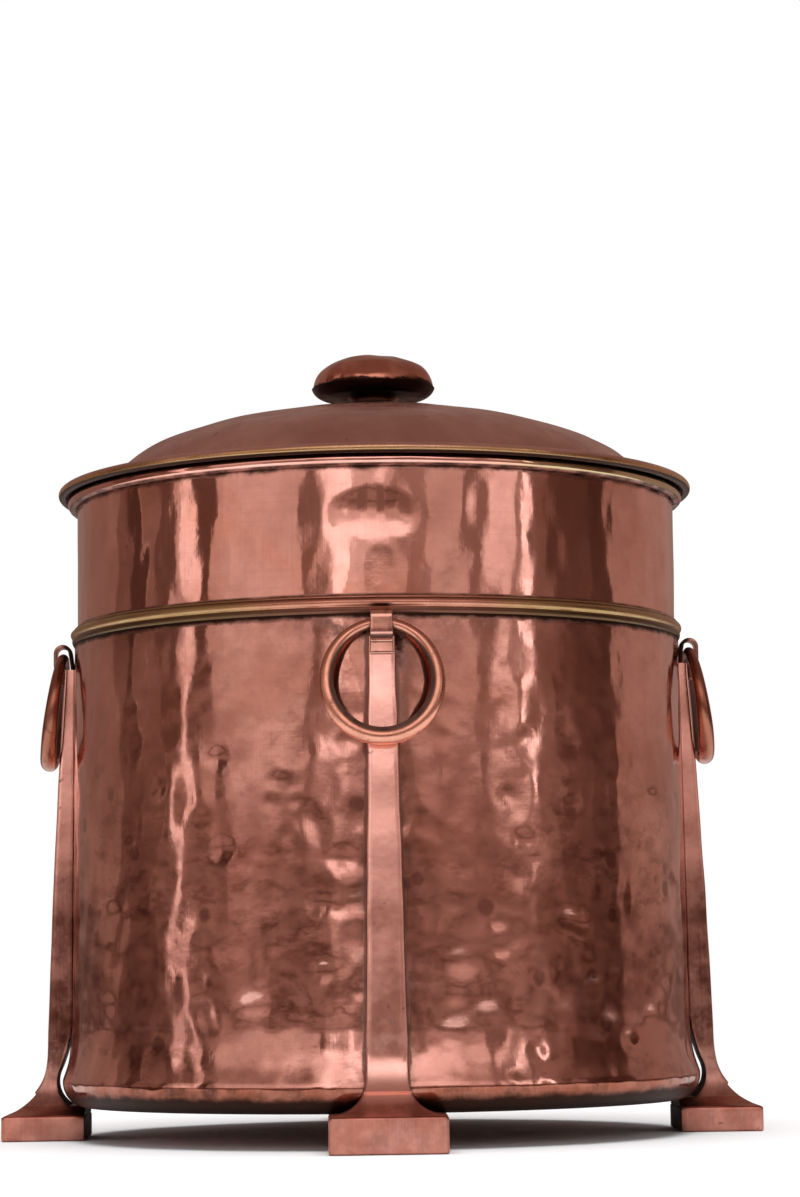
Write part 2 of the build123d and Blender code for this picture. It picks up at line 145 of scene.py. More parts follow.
class Relief:
    """A height map wrapped round the bin: across is the way round, up is along the wall."""

    CELL = 1.5 * MM
    STRAY = 0.45  # how far a hammer mark lies out of its row, in spacings

    def __init__(self, around, tall, seed, bottom=0.0):
        self.around = around
        self.tall = tall
        self.bottom = bottom
        self.random = np.random.default_rng(seed)
        self.columns = max(8, round(around / self.CELL))
        self.rows = max(4, round(tall / self.CELL) + 1)
        self.heights = np.zeros((self.rows, self.columns))

    def dent(self, across, up, size, depth, tall=1.0):
        """One round dent, deepest in its middle; a negative depth is a bump."""
        reach = int(size * max(1.0, tall) / self.CELL) + 2
        column, row = across / self.CELL, up / self.CELL
        rows = np.arange(max(0, int(row) - reach), min(self.rows, int(row) + reach + 1))
        columns = np.arange(int(column) - reach, int(column) + reach + 1)
        if len(rows) == 0:
            return
        dy = (rows - row)[:, None] * self.CELL / (size * tall)
        dx = (columns - column)[None, :] * self.CELL / size
        bowl = np.clip(1 - dx**2 - dy**2, 0, None) ** 1.5
        self.heights[np.ix_(rows, columns % self.columns)] -= depth * bowl

    def planish(self, low, high, spacing, size, depth):
        """Rows of hammer marks from low to high, each a little out of place."""
        for row, up in enumerate(np.arange(low, high, spacing)):
            count = round(self.around / spacing)
            for column in range(count):
                shift = self.random.uniform(-self.STRAY, self.STRAY, 2) * spacing
                across = (column + 0.5 * (row % 2)) * spacing + shift[0]
                strength = depth * self.random.uniform(0.4, 1.6)
                width = size * self.random.uniform(0.7, 1.35)
                self.dent(across, up + shift[1], width, strength)

    def scatter(self, count, low, reach, gather, sizes, steepness, tall=1.0):
        """Single dents, crowded towards the bottom, each as deep as its size allows."""
        for _ in range(count):
            across = self.random.uniform(0, self.around)
            up = low + reach * self.random.uniform() ** gather
            size = self.random.uniform(*sizes)
            self.dent(across, up, size, self.random.uniform(*steepness) * size, tall)

    def ripple(self, depth, waves, turns, rises):
        """Broad unevenness: crossed waves with random phases."""
        round_ = np.arange(self.columns) / self.columns * 2 * math.pi
        up = np.arange(self.rows) / max(1, self.rows - 1)
        for _ in range(waves):
            turn = self.random.integers(*turns)
            rise = self.random.uniform(*rises)
            phase = self.random.uniform(0, 2 * math.pi, 2)
            wave = np.cos(turn * round_ + phase[0])[None, :]
            wave = wave * np.cos(rise * 2 * math.pi * up + phase[1])[:, None]
            self.heights += depth * self.random.uniform(0.4, 1.0) * wave

    def fade(self, low, high):
        """Lets the relief die away at the wall's two ends, over these lengths."""
        up = np.arange(self.rows) * self.CELL
        gain = np.ones(self.rows)
        if low > 0:
            gain *= np.clip(up / low, 0, 1)
        if high > 0:
            gain *= np.clip((self.tall - up) / high, 0, 1)
        self.heights *= (gain**2 * (3 - 2 * gain))[:, None]

    def at(self, turn, up):
        """Heights at turn (0 to 1 round the bin) and up (metres along the wall)."""
        x = (turn % 1.0) * self.columns
        y = np.clip(up / self.CELL, 0, self.rows - 1.001)
        x0, y0 = np.floor(x).astype(int), np.floor(y).astype(int)
        fx, fy = x - x0, y - y0
        x1 = (x0 + 1) % self.columns
        x0 = x0 % self.columns
        low = self.heights[y0, x0] * (1 - fx) + self.heights[y0, x1] * fx
        high = self.heights[y0 + 1, x0] * (1 - fx) + self.heights[y0 + 1, x1] * fx
        return low * (1 - fy) + high * fy

    def fade_round(self, start, end):
        """On a flat map, lets the relief die away between these distances from its middle."""
        x = (np.arange(self.columns) / self.columns - 0.5) * self.around
        y = np.arange(self.rows) * self.CELL - self.tall / 2
        away = np.clip((np.hypot(x[None, :], y[:, None]) - start) / (end - start), 0, 1)
        self.heights *= 1 - away**2 * (3 - 2 * away)

    def over(self, x, y):
        """Heights at places on a flat map centred on the axis."""
        return self.at(x / self.around + 0.5, y + self.tall / 2)


# ------------ meshes


def make_object(name, vertices, faces, material, sharp, ends=()):
    """A smooth-shaded mesh object with creases at corners over sharp degrees.

    faces all have as many corners as one another, and ends are a few larger flat faces.
    """
    mesh = bpy.data.meshes.new(name)
    vertices = np.asarray(vertices, np.float32)
    corners = np.concatenate([faces.ravel(), *ends]).astype(np.int32)
    sizes = np.array([faces.shape[1]] * len(faces) + [len(end) for end in ends], np.int32)
    mesh.vertices.add(len(vertices))
    mesh.vertices.foreach_set("co", vertices.ravel())
    mesh.loops.add(len(corners))
    mesh.loops.foreach_set("vertex_index", corners)
    mesh.polygons.add(len(sizes))
    mesh.polygons.foreach_set("loop_start", np.cumsum(sizes, dtype=np.int32) - sizes)
    mesh.update(calc_edges=True)
    mesh.validate()
    mesh.shade_smooth()
    mesh.set_sharp_from_angle(angle=math.radians(sharp))
    mesh.materials.append(material)
    obj = bpy.data.objects.new(name, mesh)
    bpy.context.scene.collection.objects.link(obj)
    return obj


def grid_faces(rows, columns, closed):
    """Quads of a rows by columns grid of vertices; its columns close up, its rows if asked."""
    r, c = np.meshgrid(np.arange(rows if closed else rows - 1), np.arange(columns), indexing="ij")
    r1, c1 = (r + 1) % rows, (c + 1) % columns
    corners = [r * columns + c, r * columns + c1, r1 * columns + c1, r1 * columns + c]
    return np.stack(corners, axis=-1).reshape(-1, 4)


def lathe(name, outline, segments, material, relief, relief_up=None, sharp=60):
    """Turns a closed outline of (radius, height) points round the axis.

    relief pushes a wall's points in and out, and relief_up a dome's points up and down.
    """
    outline = np.asarray(outline, float)
    turn = np.arange(segments)[None, :] / segments
    radius = np.repeat(outline[:, 0][:, None], segments, axis=1)
    height = np.repeat(outline[:, 1][:, None], segments, axis=1)
    cos, sin = np.cos(2 * math.pi * turn), np.sin(2 * math.pi * turn)
    if relief_up is not None:
        height = height + relief_up.over(radius * cos, radius * sin)
    if relief is not None:
        share = radius / radius.max()
        radius = radius + share * relief.at(turn + 0 * radius, height - relief.bottom)
    points = np.stack([radius * cos, radius * sin, height], axis=-1)
    faces = grid_faces(len(outline), segments, True)
    return make_object(name, points.reshape(-1, 3), faces, material, sharp)


def offset_line(points, distance):
    """The polyline moved to its right-hand side."""
    slope = np.gradient(points, axis=0)
    slope /= np.hypot(slope[:, 0], slope[:, 1])[:, None]
    return points + distance * np.column_stack([slope[:, 1], -slope[:, 0]])


def loft(name, rings, material, capped):
    """A bar through rings of points: capped flat at both ends, or else closed on itself."""
    count, around = rings.shape[:2]
    faces = grid_faces(count, around, not capped)[:, ::-1]
    ends = [np.arange(around), np.arange((count - 1) * around, count * around)[::-1]]
    return make_object(name, rings.reshape(-1, 3), faces, material, 40, ends if capped else ())


def bar_section(low, high, half, corner, back_corner, crown):
    """A bar's section as (across, out) points: a rounded rectangle, fuller in the middle."""
    def side(start, end, count):
        return np.linspace(start, end, count, endpoint=False)

    def bend(across, out, radius, start, count):
        return arc((across, out), radius, start, start - 90, count + 1)[:-1]

    points = np.vstack(
        [
            side((-half + corner, high), (half - corner, high), 8),
            bend(half - corner, high - corner, corner, 90, 4),
            side((half, high - corner), (half, low + back_corner), 6),
            bend(half - back_corner, low + back_corner, back_corner, 0, 2),
            side((half - back_corner, low), (-half + back_corner, low), 6),
            bend(-half + back_corner, low + back_corner, back_corner, -90, 2),
            side((-half, low + back_corner), (-half, high - corner), 6),
            bend(-half + corner, high - corner, corner, 180, 4),
        ]
    )
    points[:, 1] -= crown * (points[:, 0] / half) ** 2
    return points


def waver(random, count, reach, waves):
    """A smooth random wander of count values, about reach high."""
    t = np.linspace(0, 1, count)
    total = np.zeros(count)
    for wave in range(1, waves + 1):
        total += random.uniform(-1, 1) * np.sin(2 * math.pi * (wave * t + random.uniform()))
    return reach * total / math.sqrt(waves)


def on_side(angle, across, out, up):
    """Points given as across, out and up beside one leg, in the frame's coordinates."""
    c, s = math.cos(math.radians(angle)), math.sin(math.radians(angle))
    across, out, up = np.broadcast_arrays(across, out, up)
    return np.stack([out * c - across * s, out * s + across * c, up], axis=-1)


# ------------ node trees


class Graph:
    """Writes a node tree: each call adds a node and returns its output."""

    def __init__(self, tree):
        self.tree = tree
        tree.nodes.clear()

    def node(self, kind, **settings):
        made = self.tree.nodes.new(kind)
        for name, value in settings.items():
            setattr(made, name, value)
        return made

    def feed(self, socket, value):
        if isinstance(value, bpy.types.NodeSocket):
            self.tree.links.new(value, socket)
        else:
            socket.default_value = value

    def math(self, operation, *values):
        made = self.node("ShaderNodeMath", operation=operation)
        for socket, value in zip(made.inputs, values):
            self.feed(socket, value)
        return made.outputs[0]

    def times(self, a, b):
        return self.math("MULTIPLY", a, b)

    def step(self, value, low, high, to_low=0.0, to_high=1.0):
        """A smooth step from to_low at low to to_high at high."""
        made = self.node("ShaderNodeMapRange", interpolation_type="SMOOTHSTEP")
        for socket, given in zip(made.inputs, (value, low, high, to_low, to_high)):
            self.feed(socket, given)
        return made.outputs[0]

    def band(self, value, start, full, past, end):
        """1 from full to past, and 0 beyond start and end."""
        return self.times(self.step(value, start, full), self.step(value, end, past))

    def mix(self, factor, a, b):
        made = self.node("ShaderNodeMix", data_type="RGBA")
        self.feed(made.inputs[0], factor)
        self.feed(made.inputs[6], a)
        self.feed(made.inputs[7], b)
        return made.outputs[2]

    def stretch(self, vector, *scale):
        made = self.node("ShaderNodeVectorMath", operation="MULTIPLY")
        self.feed(made.inputs[0], vector)
        self.feed(made.inputs[1], scale)
        return made.outputs[0]

    def noise(self, vector, scale, detail, roughness=0.5):
        made = self.node("ShaderNodeTexNoise")
        self.feed(made.inputs["Vector"], vector)
        self.feed(made.inputs["Scale"], scale)
        self.feed(made.inputs["Detail"], detail)
        self.feed(made.inputs["Roughness"], roughness)
        return made.outputs[0]

    def most(self, *values):
        total = values[0]
        for value in values[1:]:
            total = self.math("MAXIMUM", total, value)
        return total

    def hypot(self, a, b):
        return self.math("SQRT", self.math("ADD", self.times(a, a), self.times(b, b)))

    def spread(self, value, reach):
        """A noise value recentred, so that its whole range is reach wide about zero."""
        return self.math("MULTIPLY_ADD", value, reach, -reach / 2)


def rgb(red, green, blue):
    return (red, green, blue, 1.0)


# near-black brown for real tarnish, and also the colour that painted shade darkens to
PATINA_AND_SHADE = rgb(0.036, 0.016, 0.011)
WARM_COPPER = rgb(0.80, 0.355, 0.235)
DARKENED_ROUGHNESS = 0.48
SCRATCH_DEPTH = 0.06 * MM


def copper(name, light, dark, roughness, darkening=None, tint=None, dull=None, hairlines=60.0):
    """A copper surface whose colour drifts between light and dark.

    Each of the three masks is a function of (graph, place). darkening says how far the metal turns
    to near-black brown, for real tarnish in some masks and as painted shade in others; tint gives
    a second colour and how much of it shows, some of it painted shade; and dull is added to the
    roughness.
    The roughest metal is tarnished through and no longer shines as one. hairlines is how close
    together the level scratches lie.
    """
    material = bpy.data.materials.new(name)
    material.use_nodes = True
    g = Graph(material.node_tree)
    place = g.node("ShaderNodeTexCoord").outputs["Object"]
    patches = g.step(g.noise(place, 9.0, 4.0, 0.6), 0.40, 0.62)
    colour = g.mix(g.times(patches, 0.75), light, dark)
    if tint is not None:
        other, share = tint(g, place)
        colour = g.mix(share, colour, other)
    mottle = g.noise(place, 70.0, 5.0, 0.65)
    colour = g.mix(g.step(mottle, 0.35, 0.70, 0.0, 0.32), colour, dark)
    lines = g.noise(g.stretch(place, 14.0, 14.0, hairlines), 1.0, 2.0, 0.5)
    colour = g.mix(g.step(lines, 0.56, 0.74, 0.0, 0.16), colour, dark)
    strokes = g.noise(g.stretch(place, 700.0, 700.0, 16.0), 1.0, 2.0, 0.5)
    colour = g.mix(g.step(strokes, 0.52, 0.72, 0.0, 0.14), colour, dark)
    low_rough, high_rough = roughness
    uneven = g.math("ADD", mottle, g.times(patches, 0.12))
    rough = g.step(uneven, 0.35, 0.72, low_rough, high_rough)
    if dull is not None:
        rough = g.math("ADD", rough, dull(g, place))
    if darkening is not None:
        darkened_share = darkening(g, place)
        # darkens towards near-black brown, for real soil and for painted shade, as the mask gives
        colour = g.mix(darkened_share, colour, PATINA_AND_SHADE)
        rough = g.math("MAXIMUM", rough, g.times(darkened_share, DARKENED_ROUGHNESS))
    marks = g.math("MULTIPLY_ADD", lines, 0.07, g.noise(place, 150.0, 2.0, 0.4))
    marks = g.math("MULTIPLY_ADD", strokes, 0.14, marks)
    bump = g.node("ShaderNodeBump")
    g.feed(bump.inputs["Strength"], 1.0)
    g.feed(bump.inputs["Distance"], SCRATCH_DEPTH)
    g.feed(bump.inputs["Height"], marks)
    shader = g.node("ShaderNodeBsdfPrincipled")
    g.feed(shader.inputs["Base Color"], colour)
    g.feed(shader.inputs["Metallic"], g.step(rough, 0.56, 0.64, 1.0, 0.35))
    g.feed(shader.inputs["Roughness"], rough)
    g.feed(shader.inputs["Normal"], bump.outputs[0])
    output = g.node("ShaderNodeOutputMaterial")
    g.tree.links.new(shader.outputs[0], output.inputs[0])
    return material


# ------------ masks in the frame

# Each mask is a function of the graph and of the place in the frame. Darkening and dull masks
# return one number, tints a colour and how much of it shows. Some darkening masks and tints
# paint shade.

ROLL_FOOT = NECK_HIGH.z - 2 * NECK_CURL
BEAD_TOP = BEAD_HIGH.z
FLANGE = NECK_HIGH.z + 0.3 * MM
CAP_TURN = CAP_HIGH.z - 20.4 * MM
SPOT_CELLS = 34.0  # how many tarnish spots there can be in a metre


def axes(g, place):
    made = g.node("ShaderNodeSeparateXYZ")
    g.feed(made.inputs[0], place)
    return made.outputs


def from_axis(g, place):
    x, y, _ = axes(g, place)
    return g.hypot(x, y)


def from_leg(g, place):
    """Distance sideways from the nearest leg's middle line."""
    x, y, _ = axes(g, place)
    return g.math("MINIMUM", g.math("ABSOLUTE", x), g.math("ABSOLUTE", y))


def facing_in(g, place):
    """How squarely the surface faces the bin's axis, from -1 to 1."""
    x, y, _ = axes(g, place)
    normal = axes(g, g.node("ShaderNodeTexCoord").outputs["Normal"])
    total = g.math("ADD", g.times(x, normal[0]), g.times(y, normal[1]))
    return g.math("DIVIDE", g.times(total, -1.0), g.hypot(x, y))


def blotches(g, place, scale, low, high, most=1.0, detail=5.0):
    """Patches of up to most, where a noise passes from low to high."""
    return g.step(g.noise(place, scale, detail, 0.65), low, high, 0.0, most)


def ragged(g, place, height, scale, reach, detail=4.0, roughness=0.6):
    """The height made uneven by a noise, so that a line drawn on it wanders."""
    wander = g.spread(g.noise(place, scale, detail, roughness), reach)
    return g.math("ADD", height, wander)


def tarnish_spots(g, place):
    """Round dark spots a few millimetres wide, here and there, with uneven edges."""
    made = g.node("ShaderNodeTexVoronoi")
    g.feed(made.inputs["Vector"], place)
    g.feed(made.inputs["Scale"], SPOT_CELLS)
    return g.step(ragged(g, place, made.outputs["Distance"], 110.0, 0.16, 3.0), 0.24, 0.13)


def shell_dirt_and_shade(g, place):
    # Blotchy dirt near the legs, under the seam and round the loops, and flecks low down; painted
    # shadow in dark lines along the straps and under the bead, and painted shade on the foot below
    # the crease
    z = axes(g, place)[2]
    across = from_leg(g, place)
    half_width = g.math("MULTIPLY_ADD", z, -STRAP_NARROWING, STRAP_HALF_WIDTH)
    past_strap = g.math("SUBTRACT", across, half_width)
    near_leg = g.step(past_strap, 9 * MM, 1 * MM)
    # painted shadow: a ragged dark line on the wall beside each strap's edge
    edge = g.step(ragged(g, place, past_strap, 120.0, 4 * MM), 2.6 * MM, 0.8 * MM, 0.0, 0.72)
    top = g.step(z, SEAM - 16 * MM, SEAM - 1.5 * MM)
    corner = g.step(z, SEAM - 45 * MM, SEAM - 4 * MM)
    corner = g.times(g.step(across, 55 * MM, 8 * MM), corner)
    # painted shadow: a ragged dark line on the wall just under the bead
    line = g.step(ragged(g, place, z, 120.0, 4 * MM), SEAM - 4.5 * MM, SEAM - 1.0 * MM)
    # painted shade: the foot below the crease turns dark, in ragged blotches
    foot = ragged(g, place, z, 60.0, 8 * MM, 5.0, 0.65)
    foot = g.step(foot, CREASE - 4.5 * MM, CREASE - 9.5 * MM)
    foot = g.most(foot, blotches(g, place, 55.0, 0.42, 0.70, 0.60))
    foot = g.times(foot, g.step(z, CREASE - 0.6 * MM, CREASE - 1.8 * MM))
    soft = g.math("ADD", g.times(near_leg, 0.55), g.times(top, 0.35))
    soft = g.math("ADD", soft, g.times(corner, 0.9))
    soft = g.times(soft, blotches(g, place, 42.0, 0.38, 0.66))
    low_down = g.step(z, 260 * MM, 50 * MM, 0.0, 0.6)
    flecks = g.times(blotches(g, place, 75.0, 0.68, 0.78), low_down)
    return g.most(soft, edge, line, foot, flecks)


def wall_dull(g, place):
    """The walls' tarnished inner faces."""
    return g.step(facing_in(g, place), 0.3, 0.7, 0.0, 0.55)


def shell_tint(g, place):
    """Warm patches high up; redder, duller metal and dark spots low down; painted shade in dark
    orange-brown on the foot below the crease.
    """
    z = axes(g, place)[2]
    broad = blotches(g, place, 26.0, 0.36, 0.62)
    level_marks = blotches(g, g.stretch(place, 1.0, 1.0, 1.9), 44.0, 0.50, 0.64)
    patchiness = g.math("MULTIPLY_ADD", level_marks, 0.55, g.times(broad, 0.50))
    patchiness = g.times(patchiness, g.step(z, 260 * MM, 150 * MM, 0.15, 0.85))
    tuck_shade = g.step(z, CREASE - 0.4 * MM, CREASE - 1.4 * MM)
    spots = g.step(z, 270 * MM, 170 * MM, 0.0, 0.75)
    spots = g.times(tarnish_spots(g, place), spots)
    warm = g.step(z, 60 * MM, 200 * MM, 0.15, 0.55)
    warm = g.times(blotches(g, place, 15.0, 0.46, 0.64), warm)
    warm_share = g.times(warm, g.step(z, 50 * MM, 200 * MM))
    # painted shade: dark orange-brown on the foot below the crease
    colour = g.mix(tuck_shade, rgb(0.36, 0.159, 0.122), rgb(0.30, 0.098, 0.058))
    colour = g.mix(warm_share, colour, WARM_COPPER)
    colour = g.mix(spots, colour, rgb(0.10, 0.034, 0.028))
    return colour, g.most(patchiness, warm, tuck_shade, spots)


def neck_crease_darkening(g, place):
    """Darker, in blotches, where the neck's wall meets its roll and the bead."""
    z = axes(g, place)[2]
    crease = g.times(
        g.step(ragged(g, place, z, 70.0, 6 * MM), ROLL_FOOT - 3.2 * MM, ROLL_FOOT + 0.2 * MM),
        g.step(z, ROLL_FOOT + 1.8 * MM, ROLL_FOOT + 0.8 * MM),
    )
    foot = g.step(z, BEAD_TOP + 1.8 * MM, BEAD_TOP + 0.2 * MM)
    patchiness = blotches(g, place, 60.0, 0.35, 0.6)
    return g.times(g.most(crease, foot), g.math("MULTIPLY_ADD", patchiness, 0.35, 0.6))


def neck_tint(g, place):
    """Warm patches, and a roll that turns brassy towards the right."""
    x, _, z = axes(g, place)
    warm = blotches(g, place, 14.0, 0.46, 0.66, 0.6)
    roll = g.step(z, ROLL_FOOT + 0.6 * MM, ROLL_FOOT + 1.4 * MM)
    brassy = g.times(roll, g.step(x, 30 * MM, 110 * MM))
    return g.mix(brassy, WARM_COPPER, rgb(0.62, 0.524, 0.282)), g.most(warm, brassy)


def bead_tint(g, place):
    """Brassy all round, except by the front leg."""
    y = axes(g, place)[1]
    broken = g.times(g.noise(place, 22.0, 3.0), 20 * MM)
    share = g.step(g.math("ADD", y, broken), -176 * MM, -150 * MM)
    return rgb(0.42, 0.285, 0.125), share


def bead_shade_and_groove(g, place):
    """Painted shade on the lower fillet under the half round, and darker metal in the groove on
    top of it.
    """
    z = axes(g, place)[2]
    # painted shade: the lower fillet turns dark
    under = g.step(z, SEAM + 4.2 * MM, SEAM + 2.6 * MM, 0.0, 0.75)
    groove = g.band(z, SEAM + 8.0 * MM, SEAM + 8.8 * MM, SEAM + 9.0 * MM, SEAM + 9.8 * MM)
    return g.most(under, g.times(groove, 0.65))


def lid_dirt_and_shade(g, place):
    """Dirt round the stem and in the trough outside the dome, flecks, and painted shade under the
    flange.
    """
    z = axes(g, place)[2]
    away = from_axis(g, place)
    stem = g.step(away, 30 * MM, 15 * MM, 0.0, 0.8)
    trough = g.band(away, 170 * MM, 178 * MM, 189.5 * MM, 191.5 * MM)
    # painted shade: the edge under the flange turns dark
    under = g.step(z, FLANGE + 0.7 * MM, FLANGE - 0.1 * MM)
    flecks = blotches(g, place, 90.0, 0.66, 0.74, 0.55)
    return g.most(stem, g.times(trough, 0.55), under, flecks)


def lid_tint(g, place):
    """The rolled edge is rubbed to a brassy shine."""
    z = axes(g, place)[2]
    edge = g.step(from_axis(g, place), 189 * MM, 190.5 * MM)
    low = g.step(ragged(g, place, z, 45.0, 4 * MM), FLANGE + 3.3 * MM, FLANGE + 1.9 * MM)
    return rgb(0.60, 0.378, 0.154), g.times(g.times(edge, low), 0.9)


def behind_leg(g, place):
    """The low faces that look in under the bin, which lie in shade."""
    low = g.step(axes(g, place)[2], 100 * MM, 70 * MM)
    return g.times(g.step(facing_in(g, place), 0.25, 0.60), low)


def foot_block(g, place, share=1.0):
    return g.step(axes(g, place)[2], LEDGE + 1.5 * MM, LEDGE, 0.0, share)


def leg_dirt_and_shade(g, place):
    pits = blotches(g, place, 130.0, 0.68, 0.75, 0.5, 2.0)
    block = g.times(foot_block(g, place), blotches(g, place, 48.0, 0.34, 0.70))
    # pits and blotches on the blocks are real; the low inward faces are painted shade
    return g.most(behind_leg(g, place), pits, g.times(block, 0.35))


def leg_tint(g, place):
    """Darker, redder metal on the foot blocks, and painted shade in streaks low on the straps'
    side faces.
    """
    z = axes(g, place)[2]
    # painted shade: the straps' side faces, low down, turn darker and redder in streaks
    side = g.step(g.math("ABSOLUTE", facing_in(g, place)), 0.80, 0.55)
    low = g.times(g.step(z, 195 * MM, 125 * MM), g.step(z, 25 * MM, 50 * MM, 0.7, 1.0))
    streaks = g.noise(g.stretch(place, 60.0, 60.0, 14.0), 1.0, 4.0, 0.6)
    streaks = g.step(streaks, 0.35, 0.65, 0.78, 1.0)
    patchiness = g.times(streaks, g.times(side, low))
    block = foot_block(g, place, 0.95)
    # the first colour is the painted side-face shade, the second the blocks' own darker metal
    return g.mix(block, rgb(0.16, 0.058, 0.038), rgb(0.50, 0.185, 0.128)), g.most(patchiness, block)


def leg_dull(g, place):
    """The feet and the sweep above them are less polished than the straps."""
    foot = g.step(axes(g, place)[2], 52 * MM, 38 * MM, 0.0, 0.20)
    return g.math("MULTIPLY_ADD", behind_leg(g, place), 0.40, foot)


def loop_dirt_and_shade(g, place):
    """Painted shade behind the ring and on the strip's side faces below its top, darker metal in
    the turn above its tab, and dirty blotches.
    """
    x, y, z = axes(g, place)
    out = g.math("MAXIMUM", g.math("ABSOLUTE", x), g.math("ABSOLUTE", y))
    # painted shade: the strip behind the ring turns dark
    back = g.step(out, PIVOT_RADIUS + 2.4 * MM, PIVOT_RADIUS - 1.6 * MM)
    below = g.math("SUBTRACT", PIVOT_HEIGHT, z)
    turn = g.band(below, 6.2 * MM, 7.5 * MM, 8.7 * MM, 9.9 * MM)
    patchiness = blotches(g, place, 110.0, 0.52, 0.66, 0.5)
    # painted shade: the strip's side faces turn dark below its top
    side = g.step(g.math("ABSOLUTE", facing_in(g, place)), 0.7, 0.4, 0.0, 0.6)
    below_top = g.step(z, PIVOT_HEIGHT + 8.3 * MM, PIVOT_HEIGHT + 4.3 * MM)
    return g.most(back, g.times(turn, 0.8), patchiness, g.times(side, below_top))


def inside_ring(g, place):
    """The inner side of the ring's wire, where the ring is painted with shade."""
    up = g.math("SUBTRACT", axes(g, place)[2], RING_MIDDLE)
    away = g.hypot(from_leg(g, place), up)
    return g.step(away, RING_HALF_WIDTH - 0.6 * MM, RING_HALF_WIDTH - 2.4 * MM, 0.0, 0.92)


def ring_flecks_and_shade(g, place):
    # flecks are real; the wire's inner side is painted shade
    flecks = blotches(g, place, 95.0, 0.57, 0.68, 0.5)
    return g.most(inside_ring(g, place), flecks)


def ring_dull(g, place):
    return g.times(inside_ring(g, place), 0.42)


def ring_tint(g, place):
    """Painted shade: the two side rings are darker and browner than the others."""
    x = g.math("ABSOLUTE", axes(g, place)[0])
    # painted shade: the side rings turn darker and browner
    return rgb(0.27, 0.100, 0.064), g.step(x, 100 * MM, 160 * MM, 0.0, 0.80)


def cap_oxide_and_shade(g, place):
    """Dark old oxide and painted shade on the bun below its turn, with a ragged upper edge; and
    flecks.
    """
    z = ragged(g, place, axes(g, place)[2], 55.0, 10 * MM, 5.0)
    # painted shade and old oxide: the cap turns dark below its turn
    low = g.step(z, CAP_TURN + 2.2 * MM, CAP_TURN)
    flecks = blotches(g, place, 140.0, 0.60, 0.70, 0.45)
    return g.most(low, flecks)


def cap_tint(g, place):
    return rgb(0.50, 0.189, 0.128), blotches(g, place, 38.0, 0.42, 0.60, 0.8)


# ------------ materials

SALMON = rgb(0.90, 0.494, 0.408)
ROSE = rgb(0.58, 0.278, 0.218)
BROWN = rgb(0.74, 0.445, 0.385)
DUSK = rgb(0.50, 0.262, 0.212)
UMBER = rgb(0.20, 0.112, 0.090)
RUSSET = rgb(0.74, 0.348, 0.244)
FLESH = rgb(0.92, 0.518, 0.442)
SIENNA = rgb(0.70, 0.366, 0.282)
CHESTNUT = rgb(0.60, 0.272, 0.186)
# near black: the pan's old oxide, and also painted shade under the knob
SOOT_AND_SHADE = rgb(0.012, 0.007, 0.005)
ORANGE = rgb(0.82, 0.360, 0.263)
MAHOGANY = rgb(0.38, 0.159, 0.103)

POLISHED = 900.0  # hairlines on the polished walls

shell_copper = copper(
    "shell_copper", SALMON, ROSE, (0.05, 0.15), shell_dirt_and_shade, shell_tint, wall_dull, POLISHED
)
neck_copper = copper(
    "neck_copper", SALMON, ROSE, (0.05, 0.11), neck_crease_darkening, neck_tint, wall_dull, POLISHED
)
bead_copper = copper("bead_copper", CHESTNUT, MAHOGANY, (0.27, 0.38), bead_shade_and_groove, bead_tint)
lid_copper = copper("lid_copper", BROWN, DUSK, (0.20, 0.34), lid_dirt_and_shade, lid_tint)
leg_copper = copper("leg_copper", FLESH, SALMON, (0.11, 0.20), leg_dirt_and_shade, leg_tint, leg_dull)
loop_copper = copper("loop_copper", SIENNA, ROSE, (0.13, 0.24), loop_dirt_and_shade)
ring_copper = copper(
    "ring_copper", RUSSET, MAHOGANY, (0.21, 0.33), ring_flecks_and_shade, ring_tint, ring_dull
)
cap_copper = copper("cap_copper", ORANGE, MAHOGANY, (0.09, 0.20), cap_oxide_and_shade, cap_tint)
pan_patina_and_shade = copper("pan_patina_and_shade", SOOT_AND_SHADE, PATINA_AND_SHADE, (0.35, 0.55))
stem_copper = copper("stem_copper", UMBER, PATINA_AND_SHADE, (0.30, 0.45))
inner_copper = copper("inner_copper", ROSE, UMBER, (0.62, 0.75))
wire_copper = copper("wire_copper", DUSK, UMBER, (0.30, 0.45))


# ------------ body shell

shell_relief = Relief(2 * math.pi * SHELL_HIGH.x, SHELL_HIGH.z - SHELL_LOW.z, 41, SHELL_LOW.z)
shell_relief.ripple(0.16 * MM, 10, (4, 22), (0.2, 1.6))
shell_relief.ripple(0.06 * MM, 14, (24, 70), (0.3, 4.0))
shell_relief.planish(14 * MM, 275 * MM, 11 * MM, 8.5 * MM, 0.050 * MM)
shell_relief.planish(12 * MM, 275 * MM, 7 * MM, 6 * MM, 0.016 * MM)
shell_relief.planish(12 * MM, 225 * MM, 16 * MM, 12 * MM, 0.13 * MM)
shell_relief.planish(14 * MM, 140 * MM, 24 * MM, 15 * MM, 0.16 * MM)
shell_relief.scatter(260, 15 * MM, 205 * MM, 1.3, (3.5 * MM, 8 * MM), (0.012, 0.038))
shell_relief.scatter(150, 18 * MM, 190 * MM, 1.2, (6 * MM, 11 * MM), (0.025, 0.060), 0.8)
shell_relief.fade(14 * MM, 10 * MM)

